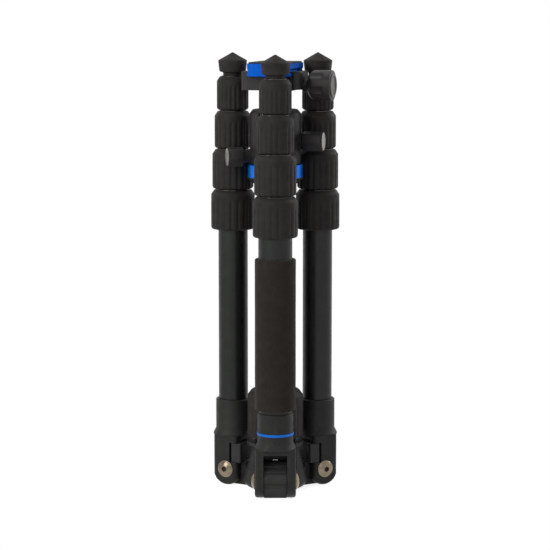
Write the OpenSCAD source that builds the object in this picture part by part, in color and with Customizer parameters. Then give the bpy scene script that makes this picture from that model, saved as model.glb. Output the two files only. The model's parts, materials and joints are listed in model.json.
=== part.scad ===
// Travel tripod, stored: the legs are folded up round the ball head.
// The origin is on the column's axis, level with the lowest points of the legs.

/* [Legs] */
// Distance from the column's axis to each leg's axis
leg_ring_r = 41.5; // [41.3:0.1:44]
// Outer diameter of the top leg tube
tube_d = 25; // [24.6:0.1:25.2]
// Wall of every leg tube
tube_wall = 1.2; // [1:0.05:1.3]
// Extra wall of the front leg's top tube, between its sleeve and its lock
front_wall = 1.5; // [0.8:0.1:2]
// Radial gap between one leg tube and the next
tube_gap = 0.3; // [0.2:0.05:0.35]
// Height of the top tube's end inside its yoke
tube_seat_z = 45; // [43:0.5:50]
// How much higher each inner tube starts than the one round it
tube_step = 3; // [2:0.25:4]

/* [Twist locks] */
// Height at which the first lock starts
lock_start_z = 219.3; // [212:0.5:222]
// Length of the locks, from the top leg tube outwards
lock_len = [33.4, 33.3, 31.1, 28.2]; // [26:0.1:35]
// Radial thickness of the locks over their tubes
lock_wall = [6.1, 6.4, 5.9, 5.4]; // [5:0.1:6.4]
// Gap between one lock and the next
lock_gap = 1.1; // [0.6:0.1:2]
// Height of the bevel at the end of a lock
lock_bevel_h = 3.8; // [2:0.1:5]
// Width of the bevel at the end of a lock
lock_bevel_w = 2.8; // [1.5:0.1:3.5]
// Radius at the other end of a lock
lock_round = 2.2; // [1:0.1:3]
// Plain band above the grooves of a lock
lock_band = 3.4; // [2:0.1:5]
// Number of grip grooves round a lock
lock_grooves = 20; // [12:1:24]
// Radius of a grip groove
groove_r = 1.3; // [0.8:0.1:1.6]
// Depth of a grip groove
groove_depth = 0.5; // [0.3:0.05:0.7]
// Running clearance of a lock on its tube
lock_fit = 0.08; // [0.05:0.01:0.1]

/* [Feet] */
// Radius of a foot at the edge of its cone
foot_r = 12.2; // [11:0.1:12.4]
// Radius of a foot where it starts above its neck
foot_low_r = 11.3; // [10:0.1:11.8]
// Radius of a foot's neck
foot_neck_r = 8; // [7.8:0.1:9]
// Height of a foot's neck
foot_neck_h = 4.4; // [3:0.1:6]
// Height of a foot's side
foot_side_h = 8.8; // [6:0.1:10]
// Height of a foot's cone
foot_cone_h = 6.8; // [4:0.1:8]
// Radius of the flat tip of a foot
foot_tip_r = 0.8; // [0.5:0.1:2]

/* [Yokes] */
// Width of a yoke across its two ears
yoke_w = 34.4; // [33.6:0.1:35]
// Height of the pivot, which is also the radius of a yoke's round end
pivot_z = 14; // [13.4:0.1:14.2]
// How far the pivot lies inside the leg's axis
pivot_in = 2.2; // [1.5:0.1:2.4]
// Distance from the leg's axis to the yoke's outer face
yoke_out = 10.8; // [10.4:0.1:11.6]
// Distance from the leg's axis to the yoke's inner face
yoke_in = 13.2; // [12.8:0.1:13.3]
// Height of the shoulder under the sleeve
yoke_body_h = 43; // [42:0.1:44]
// Height of the bevel from the yoke's body to its sleeve
yoke_bevel_h = 4.5; // [2:0.1:5]
// Height of the sleeve's end
sleeve_top_z = 73; // [68:0.5:74]
// Wall of the sleeve round the top leg tube
sleeve_wall = 2.5; // [2:0.1:2.7]
// Bevel at the end of the sleeve
sleeve_bevel = 0.8; // [0.4:0.1:1.2]
// Radius of the yoke's upright edges
yoke_edge_r = 4; // [2:0.1:5]
// Width of the slot between the ears
slot_w = 19.7; // [19.5:0.1:20.4]
// Height of the slot's end
slot_top_z = 38; // [37:0.1:39]

/* [Hinges] */
// Diameter of a hinge bolt
bolt_d = 8; // [6:0.1:9]
// Diameter of a hinge bolt's head
bolt_head_d = 13.6; // [11:0.1:14]
// Height of a hinge bolt's head
bolt_head_h = 2.7; // [2:0.1:3]
// Width across the flats of a hinge bolt's socket
bolt_socket = 4.4; // [3:0.1:5]
// Height of the upright edge of a hinge bolt's head
bolt_edge_h = 0.7; // [0.4:0.1:1]
// How far the dome of a hinge bolt's head draws in
bolt_dome = 1.9; // [1:0.1:2.5]
// Depth of a hinge bolt's socket
bolt_socket_h = 1.8; // [1:0.1:1.9]
// Radial clearance of the bolt in the ears and in the lug
bolt_fit = 0.06; // [0.04:0.01:0.1]
// Gap between a bolt's head and its ear
head_gap = 0.12; // [0.1:0.01:0.2]

/* [Angle stops] */
// Width of the lug that carries a leg
lug_w = 19; // [18:0.1:19.1]
// Radius of the lug where the latch rides on it with the leg folded
lug_r = 16.5; // [16:0.1:16.8]
// Radii of the steps that stop the leg at its wide, middle and narrow angles
step_r = [14.6, 12.9, 11.4]; // [10:0.1:15]
// Directions from the pivot at which the steps start, from the outward level
step_angle = [60, 38, 0, -23]; // [-30:1:65]
// Height of the latch tab
tab_h = 16.4; // [14:0.1:16.6]
// Height at which the latch tab starts
tab_z = 20.4; // [20:0.1:20.6]
// How far the tab stands out of the yoke, towards the column
tab_out = 3.9; // [3:0.1:4]
// How deep the tab sits in the yoke
tab_in = 5.8; // [5:0.1:6]
// Clearance of the tab above, below and over the lug
tab_fit = 0.25; // [0.2:0.01:0.35]
// Open groove beside the tab, towards the leg's middle
tab_groove = 1.5; // [1:0.1:1.8]

/* [Spider] */
// Radius of the spider's rim
spider_r = 26.6; // [25:0.1:26.8]
// Height of the spider's lower edge
spider_z = 0.9; // [0.6:0.1:2]
// Height of the spider's body
spider_top_z = 17.6; // [16.5:0.1:17.8]
// Height of the rounding at the spider's lower edge
spider_round = 5; // [3:0.1:6]
// Radius of the spider's neck
neck_r = 19.2; // [18:0.1:19.4]
// Height at which the flange above the neck starts
flange_z = 37.4; // [37.2:0.1:37.8]
// Thickness of the flange
flange_h = 3.2; // [3:0.1:3.4]
// Radius of the flange
flange_r = 24; // [22:0.1:24.4]
// Radius of the three webs between the legs, at their foot
web_r = 27.4; // [26.8:0.1:27.6]
// Radius of the webs at the flange
web_top_r = 21; // [20:0.1:23]
// Gap between a web and the yoke beside it
web_gap = 0.6; // [0.4:0.1:1]
// Radius of the boss that the column lock turns on
boss_r = 17; // [16:0.1:18]
// Height of the boss's end
boss_top_z = 58; // [54:0.5:62]
// Depth of the round recess in the spider's underside
dish_h = 3.6; // [3:0.1:4]
// Radius of the recess in the spider's underside
dish_r = 16; // [15.2:0.1:17]

/* [Foam grip and ring] */
// Height at which the foam grip starts
grip_z = 75.2; // [74.5:0.1:80]
// Length of the foam grip
grip_len = 126.3; // [100:0.5:130]
// How far the foam stands out from the top leg tube's wall
grip_wall = 4.5; // [4:0.1:4.6]
// Bevel at the ends of the foam grip
grip_bevel = 1; // [0.5:0.1:1.5]
// Height at which the thin ring on the front yoke starts
trim_z = 54.2; // [50:0.1:60]
// Height of the thin ring
trim_h = 2.3; // [1.5:0.1:3]
// How far the thin ring stands proud of the sleeve
trim_proud = 0.35; // [0.2:0.05:0.5]
// Depth of the thin ring's groove in the sleeve
trim_depth = 0.8; // [0.5:0.1:1]

/* [Column] */
// Diameter of the centre column
column_d = 24; // [22:0.1:24.6]
// Wall of the centre column
column_wall = 1.6; // [1.2:0.1:2.2]
// Running clearance of the column in the spider
column_fit = 0.1; // [0.06:0.01:0.12]
// Radius of the column lock collar
collar_r = 23.6; // [22.5:0.1:24]
// Height at which the collar starts
collar_z = 44.7; // [43:0.1:46]
// Length of the collar
collar_len = 39.5; // [36:0.5:42]
// Radius of the collar's rounded shoulder
collar_round = 4.2; // [2:0.1:5]
// Bevel at the collar's lower edge
collar_bevel = 1.2; // [0.5:0.1:2]
// Radius of the cap on the column's lower end
cap_r = 14; // [13:0.1:14.6]
// Height of the plug inside a tube's end
plug_h = 10; // [6:0.5:14]

/* [Ball head] */
// Height of the head's lower face
head_z = 260.5; // [260:0.1:261.5]
// Height of the dark base under the blue ring
base_h = 4.9; // [4:0.1:6]
// Radius of the base's lower edge
base_low_r = 19.4; // [18:0.1:21]
// Radius of the base and of the blue ring
ring_r = 23; // [22:0.1:23.2]
// Height of the blue ring
ring_h = 11; // [9:0.1:12]
// Bevel of the blue ring's edges, and of other small edges of the head
ring_bevel = 0.7; // [0.3:0.1:1]
// Radius of the ball housing
housing_r = 21.4; // [20.8:0.1:21.6]
// Height of the ball housing
housing_h = 46.1; // [45:0.1:48]
// Height of the housing's sloping shoulder
shoulder_h = 3.8; // [3:0.1:5]
// Width of the housing's sloping shoulder
shoulder_w = 3.2; // [2:0.1:4]
// Radius of the spigot on which the housing pans
spigot_r = 12; // [11:0.1:13]
// Radius of the ball
ball_r = 16; // [15.5:0.1:16.4]
// Height of the ball's centre above the blue ring
ball_h = 30.6; // [30:0.1:31]
// Clearance of the ball in its housing and on its seat
ball_fit = 0.1; // [0.08:0.01:0.15]
// Radius of the housing's mouth
mouth_r = 13.4; // [13:0.1:13.8]
// Radius of the ball's stem
stem_r = 8.6; // [7:0.1:9]
// Radius of the foot of the clamp on the stem
stem_top_r = 12; // [11:0.1:13]
// Width of the notch into which the stem drops
notch_w = 19; // [18:0.1:20]
// Depth of the notch into which the stem drops
notch_h = 7; // [5:0.1:8]
// Running clearance between the housing and the blue ring
pan_fit = 0.1; // [0.06:0.01:0.12]
// Radius of the seat under the ball
seat_r = 13.3; // [12.5:0.1:13.5]
// Height of the seat below the ball
seat_h = 4; // [3:0.1:5]
// Height of the flare from the stem to the clamp
flare_h = 4; // [3:0.1:5]
// Direction of the notch into which the stem drops
notch_az = -105; // [-110:1:-100]

/* [Head knobs] */
// Height of the pan knob's axis above the head's lower face
pan_knob_h = 22.3; // [22:0.1:23]
// Direction of the pan knob
pan_knob_az = 193.5; // [192:0.5:200]
// Diameter of the pan knob over its corners
pan_knob_d = 17.2; // [16:0.1:17.4]
// Distance of the pan knob's inner face from the column's axis
pan_knob_in = 28; // [27.5:0.1:29]
// Height of the ball knob's axis above the head's lower face
ball_knob_h = 35.1; // [34.8:0.1:36]
// Direction of the ball knob
ball_knob_az = -13.5; // [-20:0.5:-12]
// Diameter of the ball knob over its corners
ball_knob_d = 17.5; // [16:0.1:17.6]
// Distance of the ball knob's inner face from the column's axis
ball_knob_in = 24; // [23.6:0.1:25]
// Distance of the end faces of both knobs from the column's axis
knob_out = 41.6; // [40:0.1:43]
// Radius of the boss round the pan knob's screw
pan_boss_r = 5.1; // [4:0.1:6]
// Radius of the boss round the ball knob's screw
ball_boss_r = 7; // [6:0.1:7.4]
// Diameter of the two knobs' screws
knob_screw_d = 6; // [5:0.1:6.4]
// Running clearance of each knob's screw
screw_fit = 0.06; // [0.04:0.01:0.1]
// Width across the flats of a knob as a share of its diameter
flats_share = 0.92; // [0.88:0.01:0.96]
// Thickness of the bright cap at a knob's end
end_cap_h = 1.2; // [0.8:0.1:2]

/* [Clamp] */
// Height of the clamp's lower face above the head's lower face
clamp_h = 77.8; // [77.4:0.1:79]
// Direction of the clamp knob
clamp_az = -16.5; // [-18:0.5:-15]
// Thickness of the clamp's body
clamp_t = 11.5; // [10.5:0.1:11.7]
// Half of the clamp's length along the knob's axis
clamp_half = 25.5; // [24.5:0.1:25.8]
// Width of the clamp's body
clamp_w = 36; // [34:0.1:36.4]
// Radius of the clamp's upright edges
clamp_edge_r = 6; // [5:0.1:7]
// Width of the sliding jaw
jaw_w = 31; // [28:0.1:32]
// How high the jaws' lips stand above the clamp's body
lip_h = 4.1; // [3.8:0.1:4.4]
// Thickness of a jaw outside the plate
jaw_t = 6.2; // [5.8:0.1:6.4]
// Height of the clamp knob's axis above the clamp's lower face
clamp_knob_h = 4; // [3.9:0.1:4.3]
// Diameter of the clamp knob over its lobes
clamp_knob_d = 25.4; // [24:0.1:26]
// Distance of the clamp knob's inner face from the column's axis
clamp_knob_in = 30; // [29:0.1:31]
// Distance of the clamp knob's end face from the column's axis
clamp_knob_out = 50.8; // [48:0.1:52]
// Radius of the clamp knob's collar
knob_collar_r = 6; // [5:0.1:6.5]
// Diameter of the clamp's screw
clamp_screw_d = 5; // [4:0.1:5.2]
// Number of lobes round the clamp knob
knob_lobes = 6; // [5:1:8]
// Distance of the hollows between the lobes from the knob's axis, as a share of its radius
hollow_at = 1.42; // [1.35:0.01:1.5]
// Radius of those hollows as a share of the knob's radius
hollow_r = 0.52; // [0.45:0.01:0.58]
// Length of those hollows as a share of the knob's length
hollow_len = 0.72; // [0.5:0.01:0.9]
// Height of the cone at the knob's inner end
knob_cone_h = 5; // [3:0.1:6]
// Radius of the disc in the clamp knob's end
disc_r = 10.2; // [8:0.1:11]
// Width of that disc's raised rim
disc_rim = 2.4; // [1.5:0.1:3]

/* [Quick plate] */
// Width of the plate across the clamp
plate_w = 38; // [37.4:0.1:38.4]
// Length of the plate along the clamp
plate_l = 50; // [48:0.1:50.4]
// Thickness of the plate
plate_t = 10.4; // [8:0.1:11]
// Radius of the plate's upright corners
plate_corner_r = 7.6; // [7:0.1:8]
// Width of the bevel under which the jaws reach
dovetail = 1.9; // [1.6:0.1:2.1]
// Height of the upright edge below the bevel
dovetail_edge = 0.8; // [0.6:0.1:1]
// Clearance between the plate and the clamp
plate_fit = 0.2; // [0.15:0.01:0.3]
// Height of the rubber pad above the plate
pad_h = 1.1; // [0.6:0.1:1.4]
// Distance of the pad from the plate's edge
pad_inset = 1.2; // [0.8:0.1:3]
// Depth to which the pad is let into the plate
pad_sink = 0.8; // [0.4:0.1:1.2]
// Diameter of the camera screw
camera_screw_d = 6.35; // [6:0.05:6.5]
// Diameter of the camera screw's neck, in the plate and the pad
camera_neck_d = 5.2; // [4.8:0.1:5.6]
// Height at which the camera screw's thread starts, above the pad
thread_gap = 0.3; // [0.2:0.1:0.6]
// Height of the camera screw above the pad
camera_screw_h = 4.2; // [3:0.1:5.5]
// Diameter of the camera screw's head
screw_head_d = 15; // [12:0.1:16]
// Thickness of the camera screw's head
screw_head_h = 2.2; // [1.6:0.1:2.6]
// Clearance round the camera screw and its head
screw_head_fit = 0.2; // [0.1:0.01:0.3]

/* [Hidden] */
$fn = 64;
// Overrun that every cut reaches past its face
cut = 1;
// Angles and steps that the outlines share
QUARTER = 90;
FULL = 360;
STEPS = 6;
HEX = 6;
GROOVE_SIDES = 24;
LEG_NAMES = ["front", "right", "left"];
LEG_AZ = [-90, 30, 150];
LOCKS = len(lock_len);
TUBES = LOCKS + 1;

sleeve_r = tube_d / 2 + sleeve_wall;
bolt_r = bolt_d / 2;
column_r = column_d / 2;
collar_end = collar_z + collar_len;
ring_z = head_z + base_h;
housing_z = ring_z + ring_h;
ball_z = ring_z + ring_h + ball_h;
housing_top = housing_z + housing_h;
clamp_z = head_z + clamp_h;
clamp_top = clamp_z + clamp_t;
plate_z = clamp_top + plate_fit;
plate_top = plate_z + plate_t;
pad_top = plate_top + pad_h;
knob_z = clamp_z + clamp_knob_h;

function sum_to(v, n) = n == 0 ? 0 : v[n - 1] + sum_to(v, n - 1);
function tube_r(n) = tube_d / 2 - (n - 1) * (tube_wall + tube_gap);
function tube_z(n) = tube_seat_z + (n - 1) * tube_step;
function lock_z(n) = lock_start_z + sum_to(lock_len, n - 1) + (n - 1) * lock_gap;
function lock_r(n) = tube_r(n) + lock_wall[n - 1];
function lock_end(n) = lock_z(n) + lock_len[n - 1];
function tube_end(n) = n < TUBES ? lock_end(n) - lock_bevel_h : foot_z() + foot_neck_h;
function foot_z() = lock_end(LOCKS);
function polar(r, a) = [r * cos(a), r * sin(a)];
function arc(r, from, to, steps) = [for (i = [0:steps]) polar(r, from + (to - from) * i / steps)];

// A ring of material round the Z axis
module sleeve(outer, inner, from, to) {
    translate([0, 0, from]) difference() {
        cylinder(r = outer, h = to - from);
        translate([0, 0, -cut]) cylinder(r = inner, h = to - from + 2 * cut);
    }
}

// A flat rounded rectangle, centred
module rounded(l, w, r) {
    union() {
        square([l, w - 2 * r], center = true);
        square([l - 2 * r, w], center = true);
        for (x = [-1, 1], y = [-1, 1]) translate([x * (l / 2 - r), y * (w / 2 - r)]) circle(r = r);
    }
}

// Puts a piece on a leg's pivot, with +X pointing away from the column
module on_pivot(i) {
    rotate([0, 0, LEG_AZ[i]]) translate([leg_ring_r - pivot_in, 0, pivot_z]) children();
}

// Puts a piece on a leg's axis, with +X pointing away from the column
module on_leg(i) {
    rotate([0, 0, LEG_AZ[i]]) translate([leg_ring_r, 0, 0]) children();
}

// Turns a piece made along +Z so that it points along +X, at a height and a direction
module along(az, z) {
    rotate([0, 0, az]) translate([0, 0, z]) rotate([0, 90, 0]) children();
}

// Side outline of a shape that lies in the leg's plane, given a width across it
module across(w) {
    rotate([90, 0, 0]) linear_extrude(w, center = true) children();
}

module yoke(i) {
    ringed = i == 0;
    depth = yoke_in + yoke_out;
    color([0.17, 0.165, 0.16]) on_leg(i) difference() {
        union() {
            intersection() {
                across(yoke_w) union() {
                    translate([-pivot_in, pivot_z]) circle(r = pivot_z);
                    translate([-yoke_in, pivot_z]) square([depth, yoke_body_h - pivot_z]);
                }
                translate([depth / 2 - yoke_in, 0]) linear_extrude(yoke_body_h)
                    rounded(depth, yoke_w, yoke_edge_r);
            }
            intersection() {
                translate([0, 0, yoke_body_h - cut]) rotate_extrude() polygon([[0, 0],
                    [yoke_w / 2, 0], [yoke_w / 2, cut], [sleeve_r, cut + yoke_bevel_h], [0, cut + yoke_bevel_h]]);
                linear_extrude(sleeve_top_z) rounded(2 * sleeve_r, yoke_w, yoke_edge_r);
            }
            translate([0, 0, yoke_body_h]) rotate_extrude() polygon([[0, 0], [sleeve_r, 0],
                [sleeve_r, sleeve_top_z - yoke_body_h - sleeve_bevel],
                [sleeve_r - sleeve_bevel, sleeve_top_z - yoke_body_h], [0, sleeve_top_z - yoke_body_h]]);
        }
        translate([0, 0, tube_seat_z]) cylinder(r = tube_d / 2 + bolt_fit, h = sleeve_top_z);
        translate([0, 0, (slot_top_z - cut) / 2])
            cube([2 * yoke_in + 2 * cut, slot_w, slot_top_z + cut], center = true);
        translate([-pivot_in, 0, pivot_z]) rotate([90, 0, 0])
            cylinder(r = bolt_r + bolt_fit, h = yoke_w + 2 * cut, center = true);
        translate([-yoke_in - cut, -yoke_w / 2 - cut, tab_z - tab_fit])
            cube([tab_in + tab_groove + cut, yoke_w + 2 * cut, tab_h + 2 * tab_fit]);
        if (ringed) sleeve(sleeve_r + cut, sleeve_r - trim_depth, trim_z, trim_z + trim_h);
    }
}

module trim_ring() {
    color([0.05, 0.45, 0.95]) on_leg(0)
        sleeve(sleeve_r + trim_proud, sleeve_r - trim_depth + bolt_fit, trim_z + bolt_fit, trim_z + trim_h - bolt_fit);
}

module grip() {
    inner = tube_d / 2 + front_wall + bolt_fit;
    outer = tube_d / 2 + grip_wall;
    color([0.17, 0.155, 0.145]) on_leg(0) translate([0, 0, grip_z]) rotate_extrude() polygon([
        [inner, 0], [outer - grip_bevel, 0], [outer, grip_bevel], [outer, grip_len - grip_bevel],
        [outer - grip_bevel, grip_len], [inner, grip_len]]);
}

// The sprung tab whose bar drops behind the steps of the lug
module latch_tab(i) {
    reach = lug_r + tab_fit;
    color([0.22, 0.22, 0.215]) on_leg(i) difference() {
        translate([-yoke_in - tab_out, 0, tab_z]) linear_extrude(tab_h)
            translate([(tab_out + tab_in) / 2, 0])
                rounded(tab_out + tab_in, yoke_w, tab_groove);
        translate([-pivot_in, 0, pivot_z]) rotate([90, 0, 0])
            cylinder(r = reach, h = slot_w, center = true);
    }
}

module leg_tube(i, n) {
    thick = i == 0 && n == 1;
    color([0.15, 0.16, 0.15]) on_leg(i) union() {
        sleeve(tube_r(n), tube_r(n) - tube_wall, tube_z(n), tube_end(n));
        if (thick)
            sleeve(tube_r(n) + front_wall, tube_r(n) - tube_wall / 2, sleeve_top_z + head_gap, lock_z(n) - head_gap);
    }
}

// A twist lock: a collar with a bevelled end and grip grooves that stop short of it
module leg_lock(i, n) {
    r = lock_r(n);
    h = lock_len[n - 1];
    groove_top = h - lock_bevel_h - lock_band;
    bore = tube_r(n) + lock_fit;
    mouth = tube_r(n + 1) + tube_gap;
    step = tube_end(n) - lock_z(n) + tube_gap;
    color([0.17, 0.165, 0.16]) on_leg(i) translate([0, 0, lock_z(n)]) difference() {
        rotate_extrude() polygon(concat([[bore, 0]],
            [for (p = arc(lock_round, -QUARTER, 0, STEPS)) [r - lock_round + p.x, lock_round + p.y]],
            [[r, h - lock_bevel_h], [r - lock_bevel_w, h], [mouth, h], [mouth, step], [bore, step]]));
        for (k = [0:lock_grooves - 1]) rotate([0, 0, (2 * k + 1) * FULL / 2 / lock_grooves])
            translate([r + groove_r - groove_depth, 0, -cut]) cylinder(r = groove_r, h = groove_top + cut, $fn = GROOVE_SIDES);
    }
}

module leg_foot(i) {
    bore = tube_r(TUBES) + lock_fit;
    side_z = foot_neck_h + foot_side_h;
    color([0.18, 0.175, 0.165]) on_leg(i) translate([0, 0, foot_z() + lock_fit]) rotate_extrude() polygon([
        [bore, 0], [foot_neck_r, 0], [foot_neck_r, foot_neck_h - lock_gap], [foot_low_r, foot_neck_h],
        [foot_r, side_z], [foot_tip_r, side_z + foot_cone_h], [0, side_z + foot_cone_h],
        [0, foot_neck_h + lock_gap], [bore, foot_neck_h + lock_gap]]);
}

// Three bolts, each with a domed socket head at both ends
module hinge_bolts() {
    head_y = yoke_w / 2 + head_gap;
    color([0.72, 0.66, 0.56]) for (i = [0:len(LEG_AZ) - 1]) on_pivot(i) rotate([90, 0, 0])
        difference() {
            union() {
                cylinder(r = bolt_r, h = 2 * head_y, center = true);
                for (s = [0, 1]) mirror([0, 0, s]) translate([0, 0, head_y]) rotate_extrude() polygon([
                    [0, 0], [bolt_head_d / 2, 0], [bolt_head_d / 2, bolt_edge_h],
                    for (p = arc(cut, 0, QUARTER, STEPS)) if (p.y > 0) [
                        bolt_head_d / 2 - bolt_dome * (cut - p.x),
                        bolt_edge_h + (bolt_head_h - bolt_edge_h) * p.y],
                    [0, bolt_head_h]]);
            }
            for (s = [0, 1]) mirror([0, 0, s]) translate([0, 0, head_y + bolt_head_h - bolt_socket_h])
                cylinder(d = bolt_socket / cos(FULL / HEX / 2), h = bolt_socket_h + cut, $fn = HEX);
        }
}

// Outline of one lug in the leg's plane, measured from the pivot
module lug_outline() {
    inner = pivot_in - leg_ring_r + neck_r - column_wall;
    bottom = head_gap - pivot_z;
    top = spider_top_z - pivot_z - tab_fit;
    back = 2 * QUARTER - asin(top / lug_r);
    polygon(concat(
        [[inner, bottom], [bolt_r, bottom]],
        arc(step_r[2], step_angle[3], step_angle[2], STEPS),
        arc(step_r[1], step_angle[2], step_angle[1], STEPS),
        arc(step_r[0], step_angle[1], step_angle[0], STEPS),
        arc(lug_r, step_angle[0], back, 4 * STEPS),
        [[inner, top]]));
}

// The hub that carries the three legs, the column and the column lock
module spider() {
    color([0.16, 0.155, 0.15]) difference() {
        union() {
            rotate_extrude() polygon(concat([[0, spider_z]],
                [for (p = arc(spider_round, -QUARTER, 0, STEPS)) [spider_r - spider_round + p.x, spider_z + spider_round + p.y]],
                [[spider_r - lock_gap, spider_top_z], [neck_r, spider_top_z], [neck_r, flange_z], [flange_r, flange_z],
                [flange_r, flange_z + flange_h], [boss_r, flange_z + flange_h], [boss_r, boss_top_z], [0, boss_top_z]]));
            for (i = [0:len(LEG_AZ) - 1]) on_pivot(i) across(lug_w) lug_outline();
            difference() {
                translate([0, 0, spider_z + spider_round])
                    cylinder(r1 = web_r, r2 = web_top_r, h = flange_z - spider_z - spider_round + ring_bevel);
                for (i = [0:len(LEG_AZ) - 1]) rotate([0, 0, LEG_AZ[i]])
                    translate([0, -yoke_w / 2 - web_gap, 0]) cube([web_r + cut, yoke_w + 2 * web_gap, flange_z + lip_h]);
            }
        }
        translate([0, 0, -cut]) cylinder(r = column_r + column_fit, h = boss_top_z + 2 * cut);
        translate([0, 0, -cut]) cylinder(r = dish_r, h = spider_z + dish_h + cut);
        for (i = [0:len(LEG_AZ) - 1]) on_pivot(i) rotate([90, 0, 0])
            cylinder(r = bolt_r + bolt_fit, h = yoke_w + 2 * cut, center = true);
    }
}

module column_tube() {
    color([0.15, 0.16, 0.15])
        sleeve(column_r, column_r - column_wall, spider_z + dish_h, head_z);
}

module column_cap() {
    color([0.18, 0.175, 0.165]) union() {
        translate([0, 0, spider_z + column_fit]) cylinder(r = cap_r, h = dish_h - 2 * column_fit);
        translate([0, 0, spider_z + dish_h - 2 * column_fit])
            cylinder(r = column_r - column_wall - column_fit, h = plug_h);
    }
}

module column_lock() {
    bore = boss_r + column_fit;
    step = boss_top_z - collar_z + lock_gap;
    groove_top = collar_len - collar_round - lock_band;
    color([0.17, 0.165, 0.16]) translate([0, 0, collar_z]) difference() {
        rotate_extrude() polygon(concat([[bore, 0], [collar_r - collar_bevel, 0], [collar_r, collar_bevel]],
            [for (p = arc(collar_round, 0, QUARTER, STEPS))
                [collar_r - collar_round + p.x, collar_len - collar_round + p.y]],
            [[column_r + 2 * column_fit, collar_len], [column_r + 2 * column_fit, step], [bore, step]]));
        for (k = [0:lock_grooves - 1]) rotate([0, 0, (2 * k + 1) * FULL / 2 / lock_grooves])
            translate([collar_r + groove_r - groove_depth, 0, -cut])
                cylinder(r = groove_r, h = groove_top + cut, $fn = GROOVE_SIDES);
    }
}

module head_base() {
    color([0.16, 0.155, 0.15]) union() {
        translate([0, 0, head_z]) rotate_extrude() polygon([[0, 0], [base_low_r, 0],
            [ring_r, base_h - ring_bevel], [ring_r, base_h], [0, base_h]]);
        translate([0, 0, head_z - plug_h])
            cylinder(r = column_r - column_wall - column_fit, h = plug_h + ring_bevel);
    }
}

module pan_ring() {
    inner = spigot_r + pan_fit;
    color([0.05, 0.45, 0.95]) translate([0, 0, ring_z]) rotate_extrude() polygon([
        [inner, 0], [ring_r, 0], [ring_r, ring_h - ring_bevel],
        [ring_r - ring_bevel, ring_h], [inner, ring_h]]);
}

// The ball's housing, with a spigot in the blue ring and a mouth that keeps the ball in
module ball_housing() {
    z0 = housing_z + pan_fit;
    mouth_z = ball_z + sqrt(pow(ball_r + ball_fit, 2) - pow(mouth_r, 2));
    color([0.18, 0.175, 0.17]) difference() {
        union() {
            translate([0, 0, z0]) rotate_extrude() polygon([[0, 0], [housing_r - ring_bevel, 0],
                [housing_r, ring_bevel], [housing_r, housing_h - shoulder_h], [housing_r - shoulder_w, housing_h],
                [0, housing_h]]);
            translate([0, 0, ring_z + pan_fit * 4]) cylinder(r = spigot_r, h = ring_h);
            along(pan_knob_az, head_z + pan_knob_h) translate([0, 0, seat_r]) cylinder(
                r = pan_boss_r, h = pan_knob_in - seat_r - head_gap * 4);
            along(ball_knob_az, head_z + ball_knob_h) translate([0, 0, seat_r]) cylinder(
                r = ball_boss_r, h = ball_knob_in - seat_r - head_gap * 4);
        }
        translate([0, 0, ball_z]) sphere(r = ball_r + ball_fit);
        translate([0, 0, mouth_z - ball_fit]) cylinder(r1 = mouth_r,
            r2 = mouth_r + housing_top - mouth_z, h = housing_top - mouth_z + cut);
        translate([0, 0, ball_z - ball_r - seat_h]) cylinder(r = seat_r + ball_fit, h = ball_r + seat_h);
        rotate([0, 0, notch_az]) translate([0, -notch_w / 2, housing_top - notch_h])
            cube([housing_r + cut, notch_w, notch_h + cut]);
        along(pan_knob_az, head_z + pan_knob_h)
            cylinder(r = knob_screw_d / 2 + screw_fit, h = pan_knob_in + cut);
        along(ball_knob_az, head_z + ball_knob_h)
            cylinder(r = knob_screw_d / 2 + screw_fit, h = ball_knob_in + cut);
    }
}

module ball_seat() {
    color([0.75, 0.74, 0.70]) difference() {
        translate([0, 0, ball_z - ball_r - seat_h + ball_fit]) cylinder(r = seat_r, h = 2 * seat_h);
        translate([0, 0, ball_z]) sphere(r = ball_r + ball_fit);
    }
}

module ball() {
    color([0.55, 0.55, 0.55]) union() {
        translate([0, 0, ball_z]) sphere(r = ball_r);
        translate([0, 0, ball_z]) rotate_extrude() polygon([[0, 0], [stem_r, 0],
            [stem_r, clamp_z - ball_z - flare_h], [stem_top_r, clamp_z - ball_z - ring_bevel],
            [stem_top_r, clamp_z - ball_z], [0, clamp_z - ball_z]]);
    }
}

// A knob with six flats on the end of its screw, made along +Z
module flat_knob(d, from, to, screw_tip) {
    union() {
        translate([0, 0, from]) intersection() {
            cylinder(d = d, h = to - from);
            cylinder(d = d * flats_share / cos(FULL / HEX / 2), h = to - from, $fn = HEX);
            rotate_extrude() polygon([[0, 0], [d / 2 - end_cap_h, 0], [d / 2 + cut, end_cap_h + cut],
                [d / 2 + cut, to - from], [0, to - from]]);
        }
        translate([0, 0, screw_tip]) cylinder(d = knob_screw_d, h = from - screw_tip + end_cap_h);
    }
}

// The bright cap in the end of a knob, made along +Z
module end_cap(d, at) {
    translate([0, 0, at]) cylinder(d1 = d, d2 = d - end_cap_h, h = end_cap_h);
}

module pan_knob() {
    color([0.17, 0.165, 0.16]) along(pan_knob_az, head_z + pan_knob_h)
        flat_knob(pan_knob_d, pan_knob_in, knob_out - end_cap_h, seat_r);
}

module pan_knob_cap() {
    color([0.6, 0.6, 0.59]) along(pan_knob_az, head_z + pan_knob_h)
        end_cap(pan_knob_d * flats_share, knob_out - end_cap_h);
}

module ball_knob() {
    color([0.17, 0.165, 0.16]) along(ball_knob_az, head_z + ball_knob_h)
        flat_knob(ball_knob_d, ball_knob_in, knob_out - end_cap_h, seat_r + lip_h);
}

module ball_knob_cap() {
    color([0.6, 0.6, 0.59]) along(ball_knob_az, head_z + ball_knob_h)
        end_cap(ball_knob_d * flats_share, knob_out - end_cap_h);
}

// Puts a piece in the clamp's frame, with +X along the knob's axis
module on_clamp() {
    rotate([0, 0, clamp_az]) children();
}

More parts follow.
